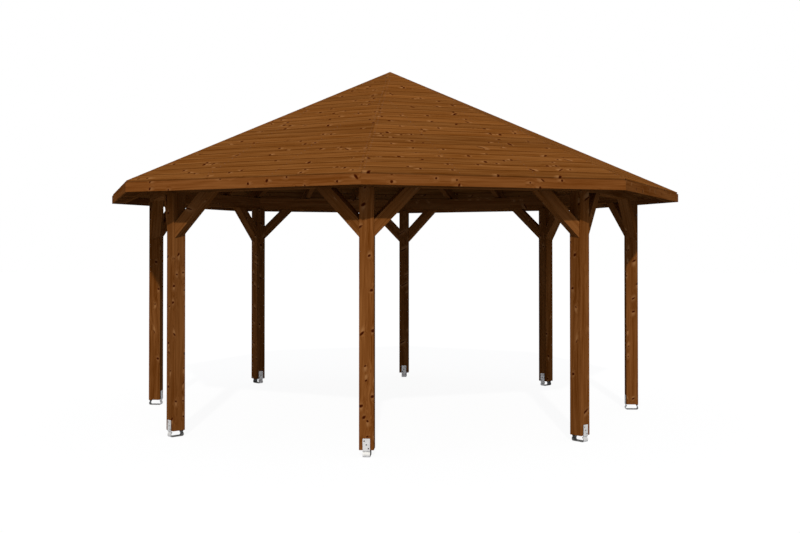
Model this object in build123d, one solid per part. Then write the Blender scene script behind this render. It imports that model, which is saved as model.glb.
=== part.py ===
from build123d import *

import os
from math import atan, atan2, cos, radians, sin, tan

# Eight-sided garden gazebo. Sizes in millimetres, ground at Z = 0, one post on each of the axes.
sides = 8
roof_pitch = 25.0                 # degrees, square to the eaves

# Posts, on a circle through their centres
post_ring_radius = 2527.0
post_side = 120.0
post_length = 2115.0
post_chamfer = 2.0

# Flat steel straps bent to a loop under each post
strap_width = 60.0
strap_thickness = 5.0
strap_reach = 94.0                # up the post from its foot
strap_bend_radius = 8.0           # inside of the bend, on the face towards the post
strap_foot_radius = 10.0
anchor_rise = 57.0                # ground to the foot of the post
kink_depth = 10.0                 # how far the strap turns in to make a seat
kink_in_drop = 11.0
kink_out_drop = 20.0
seat_clearance = 0.3
bolt_hole_diameter = 11.0
bolt_hole_below_top = 20.0
bolt_hole_pitch_up = 30.0
bolt_hole_pitch_across = 17.0
bolt_hole_count = 3
ground_hole_diameter = 14.0

# Ring beams on the post heads, and the braces under them
beam_width = 100.0
beam_height = 140.0
brace_depth = 100.0               # square to its length, seen from outside
brace_drop = 445.0                # beam underside to where its lower edge meets the post's centre line
brace_pitch = 45.0                # degrees

# Rafters
rafter_width = 60.0
rafter_depth = 120.0
birdsmouth_depth = 28.0
tail_rise = 5.0                   # level cut of the tails above the fascia's lower edge
jack_place_shares = (-1 / 3, 1 / 3)

# Block at the peak that the hip rafters butt against
hub_across_flats = 160.0
hub_drop = 30.0                   # below the rafters
hub_chamfer = 12.0

# Roof boarding and the boards along the eaves
deck_thickness = 19.0
deck_overhang = 377.0             # top edge of the boarding beyond the beams
fascia_thickness = 20.0
fascia_height = 83.0
fascia_proud = 7.0                # beyond the edge of the boarding

cut_overrun = 50.0                # how far cutting shapes reach past what they cut

post_names = (
    "front", "front_right", "right", "back_right", "back", "back_left", "left", "front_left",
)

# Plan of the octagon: corners carry posts and hips, sides carry beams and jack rafters
corner_step = 360.0 / sides
half_step = corner_step / 2
half_step_cos = cos(radians(half_step))
half_step_sin = sin(radians(half_step))
half_step_tan = tan(radians(half_step))
quarter_turn = 90.0
first_corner = -quarter_turn
post_half = post_side / 2
post_inner_offset = -post_half * (half_step_cos - half_step_sin)
frame_inner = post_ring_radius * half_step_cos + post_inner_offset
beam_outer = frame_inner + beam_width

# Heights
post_foot = anchor_rise
post_head = post_foot + post_length
beam_top = post_head + beam_height

# Roof planes: a height at the peak less a slope times the distance from the middle
pitch = radians(roof_pitch)
side_slope = tan(pitch)
hip_slope = side_slope * half_step_cos
hip_pitch = atan(hip_slope)
rafter_plumb_depth = rafter_depth / cos(pitch)
hip_plumb_depth = rafter_depth / cos(hip_pitch)
deck_plumb_thickness = deck_thickness / cos(pitch)
rafter_peak = beam_top - birdsmouth_depth + rafter_plumb_depth + beam_outer * side_slope
deck_peak = rafter_peak + deck_plumb_thickness

# Eaves
deck_edge = beam_outer + deck_overhang
deck_edge_height = deck_peak - deck_edge * side_slope
deck_foot = deck_edge - deck_thickness * sin(pitch)
deck_foot_height = deck_edge_height - deck_thickness * cos(pitch)
fascia_outer = deck_edge + fascia_proud
fascia_inner = fascia_outer - fascia_thickness
fascia_top = deck_foot_height
fascia_bottom = fascia_top - fascia_height
soffit_height = fascia_bottom + tail_rise

# Peak block
hub_inradius = hub_across_flats / 2
hub_bottom = rafter_peak - hub_inradius * hip_slope - hip_plumb_depth - hub_drop


def corner_angle(index):
    """Direction of a corner, counted anticlockwise from the front."""
    return first_corner + index * corner_step


def side_angle(index):
    """Direction of the side that follows a corner."""
    return corner_angle(index) + half_step


def turned(shape, angle):
    """The shape turned about the middle of the gazebo."""
    return Rot(0, 0, angle) * shape


def upright_prism(points, bottom, top):
    """A plan outline raised from one height to another."""
    outline = make_face(Polyline(*points, close=True))
    return Pos(0, 0, bottom) * extrude(outline, amount=top - bottom)


def crosswise_prism(points, width):
    """An outline in the XZ plane, given its width evenly to both sides."""
    outline = make_face(Polyline(*[(x, 0, z) for x, z in points], close=True))
    return extrude(outline, amount=width / 2, dir=(0, 1, 0), both=True)


def mitred_bar(inner, outer, bottom, top):
    """A bar along one side, its ends cut on the upright planes through the corners."""
    inner_half = inner * half_step_tan
    outer_half = outer * half_step_tan
    plan = [(inner, -inner_half), (outer, -outer_half), (outer, outer_half), (inner, inner_half)]
    return upright_prism(plan, bottom, top)


def side_wedge(setback):
    """The space over one side, its flanks moved in square from the corner planes."""
    start = setback / half_step_sin
    reach = fascia_outer + cut_overrun
    reach_half = (reach - start) * half_step_tan
    plan = [(start, 0), (reach, -reach_half), (reach, reach_half)]
    return upright_prism(plan, 0, deck_peak + cut_overrun)


def octagon_prism(inradius, first_corner_angle, bottom, top):
    """An upright eight-sided prism, given by the radius to its flats."""
    radius = inradius / half_step_cos
    angles = [radians(first_corner_angle + index * corner_step) for index in range(sides)]
    plan = [(radius * cos(angle), radius * sin(angle)) for angle in angles]
    return upright_prism(plan, bottom, top)


def below_roof(shape, angle):
    """The part of a shape that lies under the boarding of the side in one direction."""
    normal = (
        sin(pitch) * cos(radians(angle)),
        sin(pitch) * sin(radians(angle)),
        cos(pitch),
    )
    underside = Plane(origin=(0, 0, rafter_peak), z_dir=normal)
    return split(shape, bisect_by=underside, keep=Keep.BOTTOM)


def make_post():
    """A planed square post with eased edges."""
    square = Rectangle(post_side, post_side)
    profile = chamfer(square.vertices(), post_chamfer)
    return Pos(post_ring_radius, 0, post_foot) * extrude(profile, amount=post_length)


def make_anchor():
    """A steel strap: up both faces of the post, kinked in as a seat, looped on the ground."""
    kink_angle = atan2(kink_depth, kink_in_drop)
    seat_drop = strap_bend_radius * tan(kink_angle / 2) + seat_clearance
    neck = post_half - kink_depth
    neck_height = post_foot - seat_drop - kink_in_drop
    half_path = [
        (post_half, post_foot + strap_reach),
        (post_half, post_foot - seat_drop),
        (neck, neck_height),
        (post_half, neck_height - kink_out_drop),
        (post_half, strap_thickness),
    ]
    # The neck is folded sharp, the other bends are round
    half_radii = [strap_bend_radius, 0, strap_bend_radius, strap_foot_radius]
    path = half_path + [(-x, z) for x, z in reversed(half_path)]
    radii = half_radii + list(reversed(half_radii))
    inner_face = FilletPolyline(*path, radius=radii)
    outline = inner_face.wire().offset_2d(strap_thickness, side=Side.LEFT)
    strap = extrude(make_face(outline), amount=strap_width / 2, both=True)
    strap = Rot(quarter_turn, 0, 0) * strap
    first_hole = post_foot + strap_reach - bolt_hole_below_top
    bolt = Rot(0, quarter_turn, 0) * Cylinder(bolt_hole_diameter / 2, post_side + cut_overrun)
    middle = (bolt_hole_count - 1) / 2
    for index in range(bolt_hole_count):
        across = (index - middle) * bolt_hole_pitch_across
        strap -= Pos(0, across, first_hole - index * bolt_hole_pitch_up) * bolt
    strap -= Cylinder(ground_hole_diameter / 2, strap_thickness + cut_overrun)
    return Pos(post_ring_radius, 0, 0) * strap


def make_brace(hand):
    """A brace from the flank of the post on +X up to the beam, towards one hand (1 or -1)."""
    rise = tan(radians(brace_pitch))
    plumb_depth = brace_depth / cos(radians(brace_pitch))
    lower = post_head - brace_drop
    outline = [
        (0, lower),
        (brace_drop / rise, post_head),
        ((brace_drop - plumb_depth) / rise, post_head),
        (0, lower + plumb_depth),
    ]
    middle_offset = post_inner_offset + beam_width / 2
    bar = Pos(0, -middle_offset, 0) * crosswise_prism(outline, beam_width)
    bar = Pos(post_ring_radius, 0, 0) * turned(bar, quarter_turn + half_step)
    flank = Plane(origin=(post_ring_radius, post_half, 0), z_dir=(0, 1, 0))
    bar = split(bar, bisect_by=flank, keep=Keep.TOP)
    if hand < 0:
        bar = mirror(bar, about=Plane.XZ)
    return bar


def rafter_blank(slope, plumb_depth, start, reach):
    """A sloping timber under the roof line, plumb at its upper end, long enough for its tail cuts."""
    upper = [(x, rafter_peak - x * slope) for x in (start, reach)]
    lower = [(x, z - plumb_depth) for x, z in reversed(upper)]
    return crosswise_prism(upper + lower, rafter_width)


def make_hip_rafter(eaves_space, beam):
    """A hip rafter on +X: backed on top, notched over the mitred beams, pointed at the tail."""
    reach = fascia_outer / half_step_cos + cut_overrun
    rafter = rafter_blank(hip_slope, hip_plumb_depth, hub_inradius, reach)
    for angle in (-half_step, half_step):
        rafter = below_roof(rafter, angle)
        rafter -= turned(beam, angle)
    return rafter & eaves_space


def make_jack_rafter(share, eaves_space, beam):
    """A jack rafter on the side towards +X, cut to the cheek of the hip rafter."""
    blank = rafter_blank(side_slope, rafter_plumb_depth, 0, fascia_outer + cut_overrun)
    rafter = Pos(0, share * beam_outer * half_step_tan, 0) * blank
    rafter = rafter & side_wedge(rafter_width / 2)
    rafter = rafter & turned(eaves_space, half_step)
    return rafter - beam


def make_hub():
    """The eight-sided block at the peak, pointed to the roof planes, a flat to each hip."""
    hub = octagon_prism(hub_inradius, half_step, hub_bottom, rafter_peak)
    hub = chamfer(hub.faces().sort_by(Axis.Z)[0].edges(), hub_chamfer)
    for index in range(sides):
        hub = below_roof(hub, half_step + index * corner_step)
    return hub


def make_roof_panel():
    """The boarding of one side, mitred along the hips and cut square at the eaves."""
    outline = [
        (0, deck_peak),
        (deck_edge, deck_edge_height),
        (deck_foot, deck_foot_height),
        (0, rafter_peak),
    ]
    slab = crosswise_prism(outline, 2 * fascia_outer * half_step_tan)
    return slab & side_wedge(0)


def save(name, shape):
    """Writes one node."""
    export_step(shape, os.path.join("parts", name + ".step"))


def main():
    os.makedirs("parts", exist_ok=True)
    post = make_post()
    anchor = make_anchor()
    beam = mitred_bar(frame_inner, beam_outer, post_head, beam_top)
    fascia = mitred_bar(fascia_inner, fascia_outer, fascia_bottom, fascia_top)
    panel = make_roof_panel()
    hub = make_hub()
    eaves_space = octagon_prism(fascia_inner, 0, soffit_height, deck_peak)
    hip_rafter = make_hip_rafter(eaves_space, beam)
    jack_pair = [make_jack_rafter(share, eaves_space, beam) for share in jack_place_shares]

    corners = [corner_angle(index) for index in range(sides)]
    for name, angle in zip(post_names, corners):
        save("post_" + name, turned(post, angle))
        save("anchor_" + name, turned(anchor, angle))
    for index in range(sides):
        number = str(index + 1)
        angle = side_angle(index)
        save("ring_beam_" + number, turned(beam, angle))
        save("fascia_board_" + number, turned(fascia, angle))
        save("roof_panel_" + number, turned(panel, angle))
    for name, hand in (("braces_right", 1), ("braces_left", -1)):
        brace = make_brace(hand)
        save(name, Compound(children=[turned(brace, angle) for angle in corners]))
    save("hip_rafters", Compound(children=[turned(hip_rafter, angle) for angle in corners]))
    jacks = [turned(jack, side_angle(index)) for index in range(sides) for jack in jack_pair]
    save("jack_rafters", Compound(children=jacks))
    save("crown_hub", hub)


main()
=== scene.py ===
"""Looks of the eight-sided garden gazebo: stained spruce timbers, boarded roof, galvanised anchors."""

import math
import random

import bmesh
import bpy
from mathutils import Matrix, Vector


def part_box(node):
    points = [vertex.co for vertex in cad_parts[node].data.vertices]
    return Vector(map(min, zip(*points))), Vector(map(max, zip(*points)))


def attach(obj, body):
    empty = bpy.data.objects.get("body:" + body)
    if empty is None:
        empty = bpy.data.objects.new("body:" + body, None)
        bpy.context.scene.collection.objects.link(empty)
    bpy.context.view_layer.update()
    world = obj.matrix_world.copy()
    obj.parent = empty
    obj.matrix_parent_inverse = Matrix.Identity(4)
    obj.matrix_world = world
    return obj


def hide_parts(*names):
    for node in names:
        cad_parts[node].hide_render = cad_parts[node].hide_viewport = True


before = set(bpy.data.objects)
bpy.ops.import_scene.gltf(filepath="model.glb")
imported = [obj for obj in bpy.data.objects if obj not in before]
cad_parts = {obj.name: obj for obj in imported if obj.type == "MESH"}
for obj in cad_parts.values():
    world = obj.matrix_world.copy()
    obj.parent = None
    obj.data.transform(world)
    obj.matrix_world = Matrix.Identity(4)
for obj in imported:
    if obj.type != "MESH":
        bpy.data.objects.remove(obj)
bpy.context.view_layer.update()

MM = 0.001
SIDES = 8
CORNER_STEP = 2 * math.pi / SIDES
HALF_STEP = CORNER_STEP / 2
FIRST_CORNER = -math.pi / 2
UP = Vector((0, 0, 1))
BODY = "root"

# Roof: pitch and thickness as in the solid model, height and reach from the frame
ROOF_PITCH = math.radians(25.0)
BOARD_THICKNESS = 19 * MM
PANEL_LOW, PANEL_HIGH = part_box("roof_panel_1")
PEAK_HEIGHT = PANEL_HIGH.z
EAVE_RUN = -PANEL_LOW.y * math.cos(HALF_STEP)
SLOPE_LENGTH = EAVE_RUN / math.cos(ROOF_PITCH)

# Roof boards, tongued and grooved
BOARD_COVER = 122.6 * MM
EAVE_BOARD_COVER = 110 * MM
PEAK_BOARD_LIMIT = 1.5 * BOARD_COVER
BOARD_CHAMFER = 4 * MM
BOARD_GAP = 0.3 * MM
HIP_GAP = 0.4 * MM
TONGUE_LENGTH = 6 * MM
TONGUE_HALF = 3 * MM
TONGUE_PLAY = 0.4 * MM

# Nails in the roof boards, along the hips and along the jack rafters where those are clear of the hips
NAIL_RADIUS = 3.5 * MM
NAIL_TOP_SHARE = 0.8
NAIL_RISE = 0.5 * MM
NAIL_SEGMENTS = 10
NAIL_PLACE_SHARES = (0.24, 0.76)
NAIL_FROM_HIP = 18 * MM
JACK_OFFSET = 331.7 * MM
JACK_FROM_HIP = 3 * NAIL_FROM_HIP

# Holes for the anchors' bolts in the posts, the highest measured from the foot of a post
POST_SIDE = 120 * MM
POST_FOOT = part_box("post_front")[0].z
BOLT_HOLES = 3
BOLT_HOLE_RADIUS = 5 * MM
BOLT_HOLE_DEPTH = 40 * MM
BOLT_HOLE_TOP = 74 * MM
BOLT_HOLE_STEP_DOWN = 30 * MM
BOLT_HOLE_STEP_ACROSS = 17 * MM
HOLE_SEGMENTS = 16

# Eased edges
TIMBER_EASE = 2.5 * MM
FASCIA_EASE = 1.5 * MM
STEEL_EASE = 0.5 * MM
EASE_SEGMENTS = 2
ROUND_PROFILE = 0.5
WELD = 0.01 * MM
FLAT_ANGLE = math.radians(0.5)
SHARP_ANGLE = math.radians(40)

# Logs: the pith lies beside each timber, and each timber is cut from a place of its own along the log
LOG_RUN = 60.0
BOARD_PITH = (0, 30 * MM)
SQUARE_PITH = (50 * MM, 90 * MM)
PITH_NEAR = 15 * MM
PITH_FAR = 70 * MM
UPRIGHT_COSINE = 0.9
ROUND_DIGITS = 5

# Stains as linear colours, and a dark colour of painted shade for board joints and bolt holes
ROOF_LIGHT = (0.250, 0.0970, 0.0238)
ROOF_DARK = (0.134, 0.0368, 0.0032)
TIMBER_LIGHT = (0.235, 0.0852, 0.0208)
TIMBER_DARK = (0.121, 0.0318, 0.0031)
FASCIA_LIGHT = (0.241, 0.0846, 0.0202)
FASCIA_DARK = (0.134, 0.0350, 0.0036)
KNOT_COLOUR = (0.082, 0.0140, 0.0012)
KNOT_HEART = (0.034, 0.0032, 0.0004)
KNOT_PALE = (0.375, 0.172, 0.060)
# Painted shade laid on the faces in the board joints and on the walls of the bolt holes
PAINTED_SHADE_COLOUR = (0.055, 0.0120, 0.0008)

# Stain taken up by all wood, by late wood and by each kind of streak, and how the depth of stain varies
BASE_STAIN = 0.32
LATE_WOOD_STAIN = 0.42
FINE_STAIN = 0.60
MEDIUM_STAIN = 2.00
BROAD_STAIN = 1.30
TINT_LOW = 0.88
TINT_RANGE = 0.24

# Streaks: noise cells to a metre along and across the fibres, and the detail of the noise
FINE_STREAKS = (6.0, 380.0, 3.0)
MEDIUM_STREAKS = (1.7, 66.0, 3.0)
BROAD_STREAKS = (1.1, 17.0, 2.0)
NOISE_ROUGHNESS = 0.55
MIDDLE_SHARE = 0.5

# Rings: their number to a metre, how far streaks shift them, and where in a ring late wood rises and ends
RINGS_TO_A_METRE = 180.0
RING_WAVER = 3.0
LATE_WOOD_SHARES = (0.30, 0.92)
RING_END_SHARES = (1.0, 0.94)

# Flow of the fibres: how the pith wanders, how rings swell and fibres part round a knot, and the radius
# at which a turn about the pith counts as a width
WANDER_SCALE = (0.9, 1.0, 1.0)
WANDER_DETAIL = 1.0
WANDER_WIDTH = 60 * MM
RING_SWELL = 11 * MM
PARTING_SHARE = 0.8
ARC_RADIUS = 100 * MM

# Planed surface of the timbers
WOOD_ROUGHNESS = 0.92
FIBRE_ROUGHNESS = 0.20
LATE_WOOD_RELIEF = 0.5
KNOT_RELIEF = 2.0
WOOD_BUMP = 0.4
WOOD_BUMP_DEPTH = 0.6 * MM

# Knots: share of cells with a knot, their size, how far some are drawn out, how pale the fibres beside
# them are, and whether they are branches that rise from the pith or go straight through a board
ROOF_KNOTS = {"share": 0.12, "radius": 13 * MM, "stretch": 2.0, "halo": 0.64, "branches": False}
POST_KNOTS = {"share": 0.55, "radius": 11 * MM, "stretch": 0.0, "halo": 0.66, "branches": True}
FRAME_KNOTS = {"share": 0.20, "radius": 9 * MM, "stretch": 0.0, "halo": 0.60, "branches": True}
FASCIA_KNOTS = {"share": 0.32, "radius": 11 * MM, "stretch": 1.0, "halo": 0.42, "branches": False}
KNOT_BORDER = 0.16
KNOT_SLANT = 3.5
SPIKE_POWER = 4.0
GIRTH_LOW_SHARE = 0.65
GIRTH_RANGE_SHARE = 0.7

# Rim of a knot: how ragged it is, where the rim and the heart fade in, and how much of the stain they hide
RAGGED_SCALE = (70.0,) * 3
RAGGED_DETAIL = 2.0
RAGGED_SHARE = 0.35
RIM_SHARES = (1.12, 0.88)
HEART_SHARES = (0.90, 0.35)
RIM_COVER = 0.92
HEART_COVER = 0.85

# Hills over a knot, in knot radii: length, width and how far they are moved along the grain
EYE_SHARES = (4.5, 2.6, 0.0)
HALO_SHARES = (2.5, 1.0, 5.5)

# Cells for knots: to a metre of board along and across, or to a metre along and a radian round the pith
BOARD_CELLS = (11.0, 15.0)
BRANCH_CELLS = (7.0, 2.4)
BRANCH_RISE = 0.55
BRANCH_FULL = 100 * MM
BRANCH_SHORT = 90 * MM
BRANCH_SPAN = 250 * MM
BRANCH_TIP = 12 * MM

# Zinc coat of the anchors: spangle in warped cells, clouds, darkened cut edges, and painted shade inside
# the loop
STEEL_DARK = (0.515, 0.505, 0.485)
STEEL_LIGHT = (0.765, 0.745, 0.715)
SPANGLE_SCALE = 110.0
WARP_SCALE = 60.0
WARP_DETAIL = 2.0
WARP_REACH = (6 * MM,) * 3
CLOUD_SCALE = 18.0
CLOUD_DETAIL = 4.0
FLAKE_SHARE = 0.35
CLOUD_SHARE = 0.65
# How far the marked faces are darkened, and the cosine below which a face counts as an edge: darkened cut
# edges, and painted shade inside the loop
EDGE_AND_SHADE_DARKENING = 0.80
DARK_EDGE_COSINE = 0.5
STEEL_METALLIC = 0.25
STEEL_ROUGHNESS = 0.52
FLAKE_ROUGHNESS = 0.16
STEEL_BUMP = 0.15
STEEL_BUMP_DEPTH = 0.3 * MM

# Lacquer of the nails
LACQUER = (0.085, 0.036, 0.014)
RUBBED_LACQUER = (0.14, 0.075, 0.04)
RUB_SCALE = 900.0
RUB_SHARES = (0.45, 0.75)
NAIL_METALLIC = 0.4
NAIL_ROUGHNESS = 0.35
RUB_ROUGHNESS = 0.3

# Camera, fitted to the photograph: 800 by 533 pixels
IMAGE_WIDTH = 800.0
FOCAL_PIXELS = 995.5
PRINCIPAL_RISE_PIXELS = 28.2
SENSOR_WIDTH = 36.0
CAMERA_DISTANCE = 10.5759
CAMERA_HEIGHT = 1.6624
GAZEBO_TURN = math.radians(4.211)
CAMERA_YAW = math.radians(0.572)
CAMERA_PITCH = math.radians(0.667)

# Light
WHITE = (1.0,) * 3
SUN_STRENGTH = 2.02
SUN_COLOUR = (1.02, 1.0, 0.93)
SUN_ELEVATION = math.radians(31.3)
SUN_AZIMUTH = math.radians(-86.4)
SUN_ANGLE = math.radians(1.5)
SKY_STRENGTH = 0.53
SKY_COLOUR = (0.97, 1.0, 1.10)
FLOOR_SIZE = 120.0
FLOOR_BOUNCE = (0.355, 0.400, 0.500)
FLOOR_LIT = (0.095,) * 3
FLOOR_GLOW = 0.93

draw = random.Random(77556)


def opaque(colour):
    """A colour with full cover."""
    return (*colour, 1.0)


class Look:
    """The nodes of a material or of the world, built step by step."""

    def __init__(self, owner):
        self.owner = owner
        owner.use_nodes = True
        self.tree = owner.node_tree
        self.tree.nodes.clear()

    def put(self, socket, value):
        """Sets a socket to a number, a colour or another node's output."""
        if isinstance(value, bpy.types.NodeSocket):
            self.tree.links.new(value, socket)
        else:
            socket.default_value = value

    def node(self, kind, inputs=None, **settings):
        """A node with its settings, and its inputs by name or number."""
        made = self.tree.nodes.new(kind)
        for key, value in settings.items():
            setattr(made, key, value)
        for key, value in (inputs or {}).items():
            self.put(made.inputs[key], value)
        return made

    def math(self, operation, first, second=0.0, third=0.0):
        inputs = {0: first, 1: second, 2: third}
        return self.node("ShaderNodeMath", inputs, operation=operation).outputs[0]

    def times(self, first, second):
        return self.math("MULTIPLY", first, second)

    def over(self, first, second):
        return self.math("DIVIDE", first, second)

    def minus(self, first, second):
        return self.math("SUBTRACT", first, second)

    def line(self, value, slope, start):
        """The value times the slope, from the start on."""
        return self.math("MULTIPLY_ADD", value, slope, start)

    def vector(self, operation, first, second=(0.0, 0.0, 0.0)):
        made = self.node("ShaderNodeVectorMath", {0: first, 1: second}, operation=operation)
        return made.outputs["Value" if operation == "LENGTH" else "Vector"]

    def combine(self, x, y, z):
        return self.node("ShaderNodeCombineXYZ", {0: x, 1: y, 2: z}).outputs[0]

    def separate(self, vector):
        return self.node("ShaderNodeSeparateXYZ", {0: vector}).outputs

    def span(self, first, second):
        """The distance that two steps at right angles cover."""
        return self.vector("LENGTH", self.combine(first, second, 0.0))

    def noise(self, vector, detail):
        inputs = {"Vector": vector, "Scale": 1.0, "Detail": detail, "Roughness": NOISE_ROUGHNESS}
        return self.node("ShaderNodeTexNoise", inputs).outputs["Fac"]

    def cells(self, vector, feature):
        """A flat scatter of points, one to a cell, and what lies round each."""
        inputs = {"Vector": vector, "Scale": 1.0}
        made = self.node("ShaderNodeTexVoronoi", inputs, voronoi_dimensions="2D", feature=feature)
        return made.outputs

    def ramp(self, value, low, high, smooth=True):
        """From 0 at low to 1 at high; low may be above high."""
        inputs = {"Value": value, "From Min": low, "From Max": high, "To Min": 0.0, "To Max": 1.0}
        kind = "SMOOTHSTEP" if smooth else "LINEAR"
        return self.node("ShaderNodeMapRange", inputs, interpolation_type=kind).outputs["Result"]

    def blend(self, amount, first, second, kind="MIX"):
        """From the first colour to the second by an amount."""
        made = self.node("ShaderNodeMix", data_type="RGBA", blend_type=kind)
        self.put(made.inputs["Factor"], amount)
        colours = [socket for socket in made.inputs if socket.type == "RGBA"]
        for socket, value in zip(colours, (first, second)):
            self.put(socket, value if isinstance(value, bpy.types.NodeSocket) else opaque(value))
        return [socket for socket in made.outputs if socket.type == "RGBA"][0]

    def shaded(self, colour, level):
        """A colour times a number."""
        return self.blend(1.0, colour, self.combine(level, level, level), "MULTIPLY")

    def attribute(self, name, output):
        return self.node("ShaderNodeAttribute", attribute_name=name).outputs[output]

    def surface(self, shader):
        """Ends the nodes with a shader, and gives what they belong to."""
        kind = "World" if isinstance(self.owner, bpy.types.World) else "Material"
        self.node("ShaderNodeOutput" + kind, {"Surface": shader})
        return self.owner


class Knots:
    """The knots of one kind of timber: which one is nearest to a place in the log, and how far off."""

    def __init__(self, look, grain, kind):
        self.look = look
        self.kind = kind
        along, across, depth = look.separate(grain)
        if kind["branches"]:
            outward = look.span(across, depth)
            foot = look.line(outward, -BRANCH_RISE, along)
            self.scatter(look.combine(foot, look.math("ARCTAN2", across, depth), 0.0), BRANCH_CELLS)
            self.grow_outward(outward)
        else:
            self.scatter(look.combine(along, across, 0.0), BOARD_CELLS)
        self.draw_out()
        self.fill(grain)

    def scatter(self, place, density):
        """Knots sit in some cells of a scatter, and fade before the border of their cell."""
        look = self.look
        density = (*density, 1.0)
        cell = look.vector("MULTIPLY", place, density)
        nearest = look.cells(cell, "F1")
        border = look.cells(cell, "DISTANCE_TO_EDGE")["Distance"]
        chance, girth, lean = look.separate(nearest["Color"])
        bare_share = 1.0 - self.kind["share"]
        present = look.math("GREATER_THAN", chance, bare_share)
        self.present = look.times(present, look.ramp(border, 0.0, KNOT_BORDER))
        offset = look.vector("DIVIDE", look.vector("SUBTRACT", cell, nearest["Position"]), density)
        self.off_along, self.off_across = look.separate(offset)[:2]
        self.lean = look.minus(lean, MIDDLE_SHARE)
        self.rank = look.ramp(chance, bare_share, 1.0, smooth=False)
        girth = look.line(girth, GIRTH_RANGE_SHARE, GIRTH_LOW_SHARE)
        self.size = look.times(girth, self.kind["radius"])

    def grow_outward(self, outward):
        """Turns a scatter round the pith into branches that widen on their way out, up to a tip."""
        look = self.look
        self.off_across = look.times(self.off_across, outward)
        self.size = look.times(self.size, look.ramp(outward, 0.0, BRANCH_FULL, smooth=False))
        tip = look.line(self.rank, BRANCH_SPAN, BRANCH_SHORT)
        past = look.over(look.minus(outward, tip), BRANCH_TIP)
        self.present = look.times(self.present, look.ramp(past, 1.0, 0.0))

    def draw_out(self):
        """Slants and stretches the knots of high rank, as a saw does that meets a branch lengthways."""
        look = self.look
        spike = look.math("POWER", self.rank, SPIKE_POWER)
        stretch = look.line(spike, self.kind["stretch"], 1.0)
        shear = look.times(look.times(self.lean, spike), KNOT_SLANT)
        self.slant = look.line(shear, self.off_across, self.off_along)
        self.wide = look.over(self.off_across, stretch)

    def fill(self, grain):
        """The knot up to its ragged rim, and the heart within."""
        look = self.look
        ragged = look.noise(look.vector("MULTIPLY", grain, RAGGED_SCALE), RAGGED_DETAIL)
        reach = look.span(self.slant, self.wide)
        reach = look.line(look.minus(ragged, MIDDLE_SHARE), RAGGED_SHARE * self.kind["radius"], reach)
        inside = look.over(reach, self.size)
        self.rim = look.times(look.ramp(inside, *RIM_SHARES), self.present)
        self.heart = look.times(look.ramp(inside, *HEART_SHARES), self.present)

    def hill(self, shares):
        """A rise over each knot: its length, its width and how far it is moved along the grain."""
        look = self.look
        length, width, shift = (share * self.kind["radius"] for share in shares)
        far = look.over(look.line(self.lean, shift, self.slant), length)
        away = look.span(far, look.over(self.wide, width))
        rise = look.math("EXPONENT", look.times(look.times(away, away), -1.0))
        return look.times(rise, self.present)


class Fibres:
    """Rings and streaks of the wood: they follow the pith, which wanders, and flow round the knots."""

    def __init__(self, look, grain, knots):
        self.look = look
        self.along, across, depth = look.separate(grain)
        wander = look.noise(look.vector("MULTIPLY", grain, WANDER_SCALE), WANDER_DETAIL)
        across = look.line(look.minus(wander, MIDDLE_SHARE), WANDER_WIDTH, across)
        self.eye = knots.hill(EYE_SHARES)
        self.radius = look.line(self.eye, -RING_SWELL, look.span(across, depth))
        parting = look.times(look.times(knots.off_across, self.eye), -PARTING_SHARE)
        self.arc = look.line(look.math("ARCTAN2", across, depth), ARC_RADIUS, parting)
        self.fine = self.streaks(FINE_STREAKS)
        self.medium = self.streaks(MEDIUM_STREAKS)
        self.broad = self.streaks(BROAD_STREAKS)
        self.late_wood = self.rings()

    def streaks(self, scales):
        """Noise about zero, long along the fibres."""
        look = self.look
        along_scale, across_scale, detail = scales
        place = look.combine(
            look.times(self.along, along_scale),
            look.times(self.arc, across_scale),
            look.times(self.radius, across_scale),
        )
        return look.minus(look.noise(place, detail), MIDDLE_SHARE)

    def rings(self):
        """The late wood of each ring, which comes in slowly and ends sharply."""
        look = self.look
        count = look.line(self.radius, RINGS_TO_A_METRE, look.times(self.medium, RING_WAVER))
        year = look.math("FRACT", count)
        return look.times(look.ramp(year, *LATE_WOOD_SHARES), look.ramp(year, *RING_END_SHARES))


def stain(look, fibres, light, dark):
    """Stain of its own depth on each timber: late wood and some streaks take more; joints and bolt holes
    take painted shade.
    """
    shade = look.line(fibres.late_wood, LATE_WOOD_STAIN, BASE_STAIN)
    shade = look.line(fibres.fine, FINE_STAIN, shade)
    shade = look.line(fibres.medium, MEDIUM_STAIN, shade)
    shade = look.line(fibres.broad, BROAD_STAIN, shade)
    shade = look.ramp(shade, 0.0, 1.0, smooth=False)
    level = look.line(look.attribute("tint", "Fac"), TINT_RANGE, TINT_LOW)
    colour = look.shaded(look.blend(shade, light, dark), level)
    # The faces marked in board joints and bolt holes take the colour of painted shade
    return look.blend(look.attribute("painted_groove_shade", "Fac"), colour, PAINTED_SHADE_COLOUR)


def knot_colours(look, knots, colour):
    """Pale fibres that run off to one side of each knot, its dark wood, and its darker heart."""
    halo = look.times(knots.hill(HALO_SHARES), knots.kind["halo"])
    colour = look.blend(halo, colour, KNOT_PALE)
    colour = look.blend(look.times(knots.rim, RIM_COVER), colour, KNOT_COLOUR)
    return look.blend(look.times(knots.heart, HEART_COVER), colour, KNOT_HEART)


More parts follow.
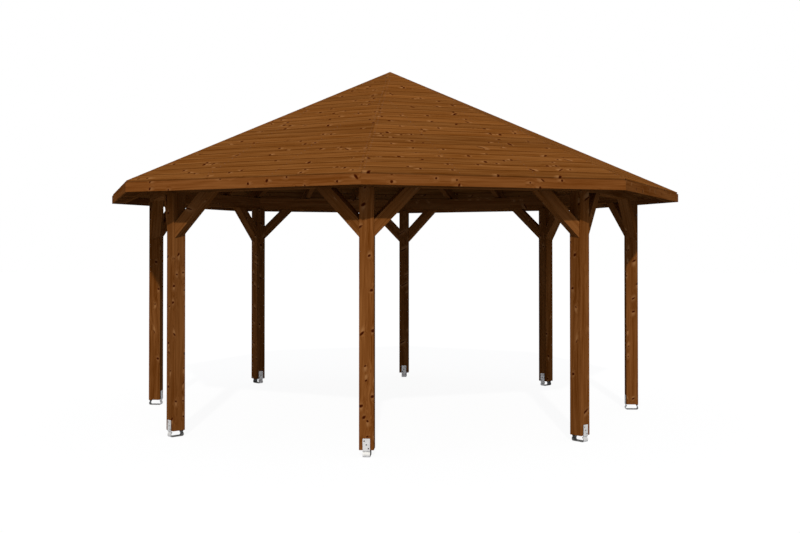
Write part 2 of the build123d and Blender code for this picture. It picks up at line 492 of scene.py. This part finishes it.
def stained_spruce(name, light, dark, kind):
    """Planed spruce under a walnut stain, with one kind of knots."""
    look = Look(bpy.data.materials.new(name))
    grain = look.attribute("grain", "Vector")
    knots = Knots(look, grain, kind)
    fibres = Fibres(look, grain, knots)
    colour = knot_colours(look, knots, stain(look, fibres, light, dark))
    height = look.line(fibres.late_wood, LATE_WOOD_RELIEF, fibres.fine)
    height = look.line(fibres.eye, KNOT_RELIEF, height)
    relief = {"Strength": WOOD_BUMP, "Distance": WOOD_BUMP_DEPTH, "Height": height}
    shader = look.node("ShaderNodeBsdfPrincipled", {
        "Base Color": colour,
        "Roughness": look.line(fibres.fine, FIBRE_ROUGHNESS, WOOD_ROUGHNESS),
        "Specular IOR Level": 0.0,
        "Normal": look.node("ShaderNodeBump", relief).outputs[0],
    })
    return look.surface(shader.outputs[0])


def galvanised_steel():
    """Hot-dipped zinc: a faint spangle in tone and gloss, clouds, and darkening where faces are marked: on
    cut edges, and as painted shade inside the loop.
    """
    look = Look(bpy.data.materials.new("galvanised_steel"))
    place = look.node("ShaderNodeTexCoord").outputs["Object"]
    wavy = {"Vector": place, "Scale": WARP_SCALE, "Detail": WARP_DETAIL}
    warp = look.node("ShaderNodeTexNoise", wavy).outputs["Color"]
    warped = look.vector("ADD", place, look.vector("MULTIPLY", warp, WARP_REACH))
    spangle = look.node("ShaderNodeTexVoronoi", {"Vector": warped, "Scale": SPANGLE_SCALE})
    flake = look.separate(spangle.outputs["Color"])[0]
    cloudy = {"Vector": place, "Scale": CLOUD_SCALE, "Detail": CLOUD_DETAIL}
    cloud = look.node("ShaderNodeTexNoise", cloudy).outputs["Fac"]
    tone = look.line(flake, FLAKE_SHARE, look.times(cloud, CLOUD_SHARE))
    # Marked faces darkened: the cut edges, and painted shade inside the loop
    level = look.line(look.attribute("dark_edges_and_painted_shade", "Fac"), -EDGE_AND_SHADE_DARKENING, 1.0)
    relief = {"Strength": STEEL_BUMP, "Distance": STEEL_BUMP_DEPTH, "Height": cloud}
    shader = look.node("ShaderNodeBsdfPrincipled", {
        "Base Color": look.shaded(look.blend(tone, STEEL_DARK, STEEL_LIGHT), level),
        "Metallic": STEEL_METALLIC,
        "Roughness": look.line(flake, FLAKE_ROUGHNESS, STEEL_ROUGHNESS),
        "Normal": look.node("ShaderNodeBump", relief).outputs[0],
    })
    return look.surface(shader.outputs[0])


def brown_coated_steel():
    """Nails lacquered to match the stain, rubbed here and there."""
    look = Look(bpy.data.materials.new("brown_coated_steel"))
    place = look.node("ShaderNodeTexCoord").outputs["Object"]
    rub = look.node("ShaderNodeTexNoise", {"Vector": place, "Scale": RUB_SCALE}).outputs["Fac"]
    shader = look.node("ShaderNodeBsdfPrincipled", {
        "Base Color": look.blend(look.ramp(rub, *RUB_SHARES), LACQUER, RUBBED_LACQUER),
        "Metallic": NAIL_METALLIC,
        "Roughness": look.line(rub, RUB_ROUGHNESS, NAIL_ROUGHNESS),
    })
    return look.surface(shader.outputs[0])


def islands(mesh):
    """The separate solids of a mesh, as lists of vertices."""
    seen = set()
    found = []
    for start in mesh.verts:
        if start in seen:
            continue
        group = []
        heap = [start]
        seen.add(start)
        while heap:
            vertex = heap.pop()
            group.append(vertex)
            for edge in vertex.link_edges:
                other = edge.other_vert(vertex)
                if other not in seen:
                    seen.add(other)
                    heap.append(other)
        found.append(group)
    return found


def grain_frame(group):
    """Length, width and depth directions of one timber, and its middle."""
    edges = [edge for vertex in group for edge in vertex.link_edges]
    longest = max(edges, key=lambda edge: round(edge.calc_length(), ROUND_DIGITS))
    length = (longest.verts[1].co - longest.verts[0].co).normalized()
    if [round(part, ROUND_DIGITS) for part in (length.z, length.x, length.y)] < [0, 0, 0]:
        length.negate()
    low = Vector([min(vertex.co[axis] for vertex in group) for axis in range(3)])
    high = Vector([max(vertex.co[axis] for vertex in group) for axis in range(3)])
    middle = (low + high) / 2
    reference = Vector((middle.x, middle.y, 0)) if abs(length.z) > UPRIGHT_COSINE else UP
    width = (reference - length * reference.dot(length)).normalized()
    return length, width, length.cross(width), middle


def timber_mesh():
    """An empty mesh with room for the grain and stain of its timbers, and for painted shade in joints and
    holes.
    """
    mesh = bmesh.new()
    mesh.verts.layers.float_vector.new("grain")
    mesh.verts.layers.float.new("tint")
    mesh.faces.layers.float.new("painted_groove_shade")
    return mesh


def write_grain(mesh, groups, frames, pith_aside):
    """Stores each timber's place in its log, the pith outside the timber, and its depth of stain."""
    grain = mesh.verts.layers.float_vector["grain"]
    tint = mesh.verts.layers.float["tint"]
    for group, (length, width, depth, middle) in zip(groups, frames):
        heart = depth * draw.choice((-1, 1))
        upward = draw.choice((-1, 1))
        half_depth = max((vertex.co - middle).dot(heart) for vertex in group)
        start = draw.uniform(0, LOG_RUN)
        aside = draw.choice((-1, 1)) * draw.uniform(*pith_aside)
        pith_deep = half_depth + draw.uniform(PITH_NEAR, PITH_FAR)
        stain_depth = draw.random()
        for vertex in group:
            place = vertex.co - middle
            vertex[grain] = (
                place.dot(length) * upward + start,
                place.dot(width) + aside,
                place.dot(heart) + pith_deep,
            )
            vertex[tint] = stain_depth


def add_object(name, data):
    """A new object in the scene."""
    made = bpy.data.objects.new(name, data)
    bpy.context.scene.collection.objects.link(made)
    return made


def mesh_object(name, mesh):
    """A new object in the scene with the mesh, which is used up."""
    data = bpy.data.meshes.new(name)
    mesh.to_mesh(data)
    mesh.free()
    return add_object(name, data)


def shown(name, mesh, material, nodes):
    """A finished piece of the gazebo that stands for CAD nodes."""
    piece = mesh_object(name, mesh)
    data = piece.data
    data.materials.append(material)
    data.polygons.foreach_set("use_smooth", [True] * len(data.polygons))
    data.set_sharp_from_angle(angle=SHARP_ANGLE)
    normals = piece.modifiers.new("even_normals", "WEIGHTED_NORMAL")
    normals.keep_sharp = True
    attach(piece, BODY)
    if nodes:
        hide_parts(*nodes)


def clean_copy(node, ease):
    """The node's solids with welded corners, whole faces and eased edges."""
    mesh = timber_mesh()
    mesh.from_mesh(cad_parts[node].data)
    bmesh.ops.remove_doubles(mesh, verts=mesh.verts, dist=WELD)
    bmesh.ops.dissolve_limit(mesh, angle_limit=FLAT_ANGLE, verts=mesh.verts, edges=mesh.edges)
    closed = [edge for edge in mesh.edges if edge.is_manifold]
    corners = [edge for edge in closed if edge.calc_face_angle() > SHARP_ANGLE]
    bmesh.ops.bevel(
        mesh, geom=corners, offset=ease, offset_type="OFFSET", segments=EASE_SEGMENTS,
        profile=ROUND_PROFILE, affect="EDGES", clamp_overlap=True,
    )
    return mesh


def bolt_hole_places(node):
    """Where the bolts of an anchor enter its post: middles on both faces, and the way in."""
    low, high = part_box(node)
    middle = (low + high) / 2
    outward = Vector((middle.x, middle.y, 0)).normalized()
    sideways = Vector((-outward.y, outward.x, 0))
    for index in range(BOLT_HOLES):
        across = sideways * (index - (BOLT_HOLES - 1) / 2) * BOLT_HOLE_STEP_ACROSS
        height = low.z + BOLT_HOLE_TOP - index * BOLT_HOLE_STEP_DOWN
        for way in (outward, -outward):
            yield Vector((middle.x, middle.y, height)) + across + way * POST_SIDE / 2, -way


def drill_bits(places):
    """Round bits, half of each inside the timber, whose walls leave painted shade in the holes."""
    bits = timber_mesh()
    painted_groove_shade = bits.faces.layers.float["painted_groove_shade"]
    for start, inward in places:
        turn = inward.to_track_quat("Z", "Y").to_matrix().to_4x4()
        bmesh.ops.create_cone(
            bits, cap_ends=True, segments=HOLE_SEGMENTS, radius1=BOLT_HOLE_RADIUS,
            radius2=BOLT_HOLE_RADIUS, depth=2 * BOLT_HOLE_DEPTH, matrix=Matrix.Translation(start) @ turn,
        )
    # Every wall of the bits carries painted shade into the holes they cut
    for wall in bits.faces:
        wall[painted_groove_shade] = 1.0
    return bits


def drill(mesh, places):
    """Cuts round blind holes into a mesh."""
    timber = mesh_object("drilled", mesh)
    bits = mesh_object("drill_bits", drill_bits(places))
    cut = timber.modifiers.new("holes", "BOOLEAN")
    cut.operation = "DIFFERENCE"
    cut.solver = "EXACT"
    cut.object = bits
    graph = bpy.context.evaluated_depsgraph_get()
    result = timber_mesh()
    result.from_mesh(timber.evaluated_get(graph).data)
    for block in (timber, bits):
        data = block.data
        bpy.data.objects.remove(block)
        bpy.data.meshes.remove(data)
    return result


def finish_timber(node, material, ease):
    """A timber node with eased edges and grain along each of its pieces."""
    mesh = clean_copy(node, ease)
    if node.startswith("post_"):
        mesh = drill(mesh, bolt_hole_places(node))
    groups = islands(mesh)
    write_grain(mesh, groups, [grain_frame(group) for group in groups], SQUARE_PITH)
    shown("finished_" + node, mesh, material, [node])


def finish_anchor(node, material):
    """A strap anchor with its edges broken, darkened on the cut edges and with painted shade inside the
    loop.
    """
    mesh = clean_copy(node, STEEL_EASE)
    dark_edges_and_painted_shade = mesh.faces.layers.float.new("dark_edges_and_painted_shade")
    mesh.normal_update()
    low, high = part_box(node)
    loop_middle = Vector(((low.x + high.x) / 2, (low.y + high.y) / 2, POST_FOOT / 2))
    outward = Vector((loop_middle.x, loop_middle.y, 0)).normalized()
    for face in mesh.faces:
        middle = face.calc_center_median()
        # Faces that do not face outward, such as the cut edges, are darkened; faces inside the loop under
        # the post take painted shade
        at_edge = abs(face.normal.dot(outward)) < DARK_EDGE_COSINE
        inside = middle.z < POST_FOOT and (loop_middle - middle).dot(face.normal) > 0
        face[dark_edges_and_painted_shade] = float(at_edge or inside)
    shown("finished_" + node, mesh, material, [node])


def roof_run(slope, depth):
    """Level distance from the peak of a point on the slope, some depth under the top face."""
    return slope * math.cos(ROOF_PITCH) - depth * math.sin(ROOF_PITCH)


def half_width(run):
    """Half the length of a board at a level distance from the peak, up to the hip."""
    return max(run * math.tan(HALF_STEP) - HIP_GAP, 0)


class RoofSide:
    """Directions of one roof face, counted as the CAD nodes are."""

    def __init__(self, index):
        angle = FIRST_CORNER + HALF_STEP + index * CORNER_STEP
        self.outward = Vector((math.cos(angle), math.sin(angle), 0))
        self.sideways = Vector((-self.outward.y, self.outward.x, 0))
        self.normal = (self.outward * math.sin(ROOF_PITCH) + UP * math.cos(ROOF_PITCH)).normalized()
        self.down = (self.outward * math.cos(ROOF_PITCH) - UP * math.sin(ROOF_PITCH)).normalized()

    def point(self, slope, across, depth):
        """A point of the face: down the slope from the peak, across it, and below its top."""
        height = PEAK_HEIGHT - slope * math.sin(ROOF_PITCH) - depth * math.cos(ROOF_PITCH)
        return self.outward * roof_run(slope, depth) + self.sideways * across + UP * height


def lower_edge(end, at_eave):
    """Downhill edge of a board as slope and depth, from the top down: grooved, or square at the eave."""
    if at_eave:
        return [(end - BOARD_CHAMFER, 0), (end, BOARD_CHAMFER), (end, BOARD_THICKNESS)]
    lip = end - BOARD_GAP
    bottom = lip - TONGUE_LENGTH - TONGUE_PLAY
    middle = BOARD_THICKNESS / 2
    half = TONGUE_HALF + TONGUE_PLAY
    return [
        (lip - BOARD_CHAMFER, 0),
        (lip, BOARD_CHAMFER),
        (lip, middle - half),
        (bottom, middle - half),
        (bottom, middle + half),
        (lip, middle + half),
        (lip, BOARD_THICKNESS - BOARD_CHAMFER),
        (lip - BOARD_CHAMFER, BOARD_THICKNESS),
    ]


def upper_edge(start, at_peak):
    """Uphill edge of a board as slope and depth, from below: a tongue, or upright at the peak."""
    if at_peak:
        return [(start + BOARD_THICKNESS * math.tan(ROOF_PITCH), BOARD_THICKNESS), (start, 0)]
    tip = start - TONGUE_LENGTH
    middle = BOARD_THICKNESS / 2
    return [
        (start + BOARD_CHAMFER, BOARD_THICKNESS),
        (start, BOARD_THICKNESS - BOARD_CHAMFER),
        (start, middle + TONGUE_HALF),
        (tip, middle + TONGUE_HALF),
        (tip, middle - TONGUE_HALF),
        (start, middle - TONGUE_HALF),
        (start, BOARD_CHAMFER),
        (start + BOARD_CHAMFER, 0),
    ]


def board_joints():
    """Slope distances of the joints between boards, from the peak to the eave."""
    joints = [SLOPE_LENGTH, SLOPE_LENGTH - EAVE_BOARD_COVER]
    while joints[-1] > PEAK_BOARD_LIMIT:
        joints.append(joints[-1] - BOARD_COVER)
    joints.append(0.0)
    return sorted(joints)


def add_board(boards, side, start, end, at_peak, at_eave):
    """One board from hip to hip with painted shade on the faces in its joints; gives its vertices."""
    painted_groove_shade = boards.faces.layers.float["painted_groove_shade"]
    section = lower_edge(end, at_eave) + upper_edge(start, at_peak)
    rings = []
    for hand in (-1, 1):
        ring = []
        for slope, depth in section:
            across = hand * half_width(roof_run(slope, depth))
            ring.append(boards.verts.new(side.point(slope, across, depth)))
        rings.append(ring)
    left, right = rings
    count = len(section)
    for i in range(count):
        j = (i + 1) % count
        face = boards.faces.new((left[i], left[j], right[j], right[i]))
        slope, depth = section[i]
        at_edge = at_eave and slope > (start + end) / 2
        # Faces in the joints get painted shade, but not the square edge at the eave
        face[painted_groove_shade] = float(depth != section[j][1] and not at_edge)
    boards.faces.new(left[::-1])
    boards.faces.new(right)
    return left + right


def nail_head(nails, side, centre):
    """A low round head with a sloping rim, set in the board."""
    forward = side.normal.cross(side.sideways)
    rim, foot = [], []
    for step in range(NAIL_SEGMENTS):
        angle = 2 * math.pi * step / NAIL_SEGMENTS
        ray = side.sideways * math.cos(angle) + forward * math.sin(angle)
        foot.append(nails.verts.new(centre + ray * NAIL_RADIUS - side.normal * NAIL_RISE))
        rim.append(nails.verts.new(centre + ray * NAIL_RADIUS * NAIL_TOP_SHARE + side.normal * NAIL_RISE))
    for i in range(NAIL_SEGMENTS):
        j = (i + 1) % NAIL_SEGMENTS
        nails.faces.new((foot[i], foot[j], rim[j], rim[i]))
    nails.faces.new(rim)
    nails.faces.new(foot[::-1])


def nail_board(nails, side, start, end):
    """Two nails through a board at each rafter that it crosses."""
    for share in NAIL_PLACE_SHARES:
        slope = start + share * (end - start)
        hip = half_width(roof_run(slope, 0)) - NAIL_FROM_HIP / math.cos(HALF_STEP)
        lines = [hip] if hip > NAIL_FROM_HIP else []
        if hip > JACK_OFFSET + JACK_FROM_HIP:
            lines.append(JACK_OFFSET)
        for line in lines:
            for hand in (-1, 1):
                nail_head(nails, side, side.point(slope, hand * line, 0))


def roof_face(index, material, nail_material):
    """The boards of one roof face, and the nails that hold them to the rafters."""
    side = RoofSide(index)
    boards = timber_mesh()
    nails = bmesh.new()
    joints = board_joints()
    groups, frames = [], []
    for start, end in zip(joints, joints[1:]):
        groups.append(add_board(boards, side, start, end, start == joints[0], end == joints[-1]))
        frames.append((side.sideways, side.down, side.normal, side.point((start + end) / 2, 0, 0)))
        nail_board(nails, side, start, end)
    write_grain(boards, groups, frames, BOARD_PITH)
    bmesh.ops.remove_doubles(boards, verts=boards.verts, dist=WELD)
    bmesh.ops.recalc_face_normals(boards, faces=boards.faces)
    number = str(index + 1)
    shown("roof_boards_" + number, boards, material, ["roof_panel_" + number])
    shown("roof_nails_" + number, nails, nail_material, [])


def dress_gazebo():
    """Every piece of the gazebo in its finish."""
    posts = stained_spruce("stained_posts", TIMBER_LIGHT, TIMBER_DARK, POST_KNOTS)
    roof_frame = stained_spruce("stained_roof_frame", TIMBER_LIGHT, TIMBER_DARK, FRAME_KNOTS)
    boards = stained_spruce("stained_roof_boards", ROOF_LIGHT, ROOF_DARK, ROOF_KNOTS)
    fascia = stained_spruce("stained_fascia", FASCIA_LIGHT, FASCIA_DARK, FASCIA_KNOTS)
    steel = galvanised_steel()
    nail_coat = brown_coated_steel()
    for node in sorted(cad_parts):
        if node.startswith("anchor_"):
            finish_anchor(node, steel)
        elif node.startswith("fascia_"):
            finish_timber(node, fascia, FASCIA_EASE)
        elif node.startswith("post_"):
            finish_timber(node, posts, TIMBER_EASE)
        elif not node.startswith("roof_panel_"):
            finish_timber(node, roof_frame, TIMBER_EASE)
    for index in range(SIDES):
        roof_face(index, boards, nail_coat)


def split_rays(look, seen, light):
    """One shader for rays from the camera, from gloss or through glass, another for all other rays."""
    path = look.node("ShaderNodeLightPath").outputs
    either = look.math("MAXIMUM", path["Is Camera Ray"], path["Is Glossy Ray"])
    amount = look.math("MAXIMUM", either, path["Is Transmission Ray"])
    both = look.node("ShaderNodeMixShader", {0: amount, 1: light.outputs[0], 2: seen.outputs[0]})
    return both.outputs[0]


def set_floor():
    """A plain white floor that keeps a faint shadow."""
    look = Look(bpy.data.materials.new("floor"))
    bounce = look.node("ShaderNodeBsdfDiffuse", {"Color": opaque(FLOOR_BOUNCE)})
    lit = look.node("ShaderNodeBsdfDiffuse", {"Color": opaque(FLOOR_LIT)})
    glow = look.node("ShaderNodeEmission", {"Color": opaque(WHITE), "Strength": FLOOR_GLOW})
    pale = look.node("ShaderNodeAddShader", {0: lit.outputs[0], 1: glow.outputs[0]})
    mesh = bmesh.new()
    bmesh.ops.create_grid(mesh, x_segments=1, y_segments=1, size=FLOOR_SIZE / 2)
    floor = mesh_object("floor", mesh)
    floor.data.materials.append(look.surface(split_rays(look, pale, bounce)))


def set_sky():
    """Even soft light all round, white where it is seen."""
    world = bpy.data.worlds.new("studio")
    bpy.context.scene.world = world
    look = Look(world)
    light = look.node("ShaderNodeBackground", {"Color": opaque(SKY_COLOUR), "Strength": SKY_STRENGTH})
    white = look.node("ShaderNodeBackground", {"Color": opaque(WHITE), "Strength": 1.0})
    look.surface(split_rays(look, white, light))


def set_sun():
    """One lamp far behind the camera."""
    lamp = bpy.data.lights.new("sun", "SUN")
    lamp.energy = SUN_STRENGTH
    lamp.color = SUN_COLOUR
    lamp.angle = SUN_ANGLE
    level = math.cos(SUN_ELEVATION)
    towards = Vector((
        level * math.cos(SUN_AZIMUTH), level * math.sin(SUN_AZIMUTH), math.sin(SUN_ELEVATION),
    ))
    add_object("sun", lamp).rotation_euler = towards.to_track_quat("Z", "Y").to_euler()


def set_camera():
    """The photograph's eye point and lens."""
    lens = bpy.data.cameras.new("camera")
    lens.sensor_width = SENSOR_WIDTH
    lens.lens = FOCAL_PIXELS / IMAGE_WIDTH * SENSOR_WIDTH
    lens.shift_y = -PRINCIPAL_RISE_PIXELS / IMAGE_WIDTH
    camera = add_object("camera", lens)
    place = FIRST_CORNER + GAZEBO_TURN
    east = CAMERA_DISTANCE * math.cos(place)
    north = CAMERA_DISTANCE * math.sin(place)
    camera.location = (east, north, CAMERA_HEIGHT)
    camera.rotation_euler = (math.pi / 2 + CAMERA_PITCH, 0, GAZEBO_TURN - CAMERA_YAW)
    bpy.context.scene.camera = camera


dress_gazebo()
set_floor()
set_sky()
set_sun()
set_camera()
bpy.context.scene.view_settings.view_transform = "Standard"
